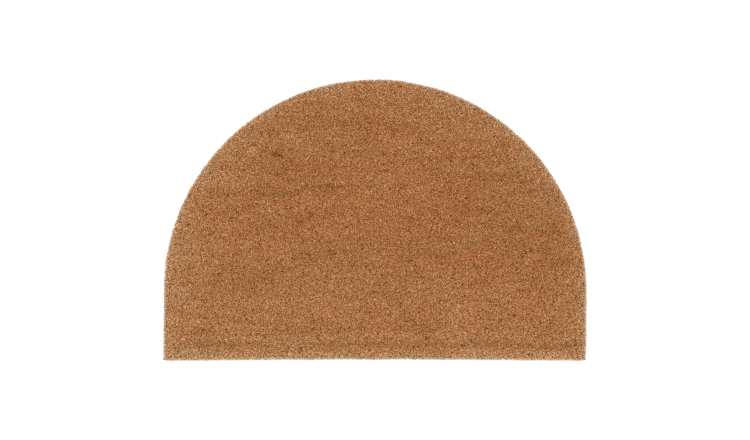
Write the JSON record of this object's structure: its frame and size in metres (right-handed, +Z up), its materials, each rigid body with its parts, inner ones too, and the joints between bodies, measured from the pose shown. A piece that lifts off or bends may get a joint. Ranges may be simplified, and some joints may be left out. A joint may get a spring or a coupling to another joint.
{
  "type": "half-moon coir doormat",
  "caption": "Flat half-moon doormat of trimmed coir bristles with a splayed cut rim, standing on a thin flat vinyl backing sheet.",
  "frame": {"origin": "on the floor under the middle of the mat's bounding box", "axes": "+X along the straight base edge, +Y from the base edge towards the crown of the arc, +Z up out of the pile"},
  "size_m": [0.6009, 0.3998, 0.015],
  "materials": {
    "coir": "trimmed coir bristles, matt, straw to red-brown",
    "vinyl": "plain dark brown flexible vinyl, lightly textured underneath"
  },
  "bodies": {
    "root": {"coir_pile": "coir", "backing": "vinyl"}
  },
  "joints": []
}
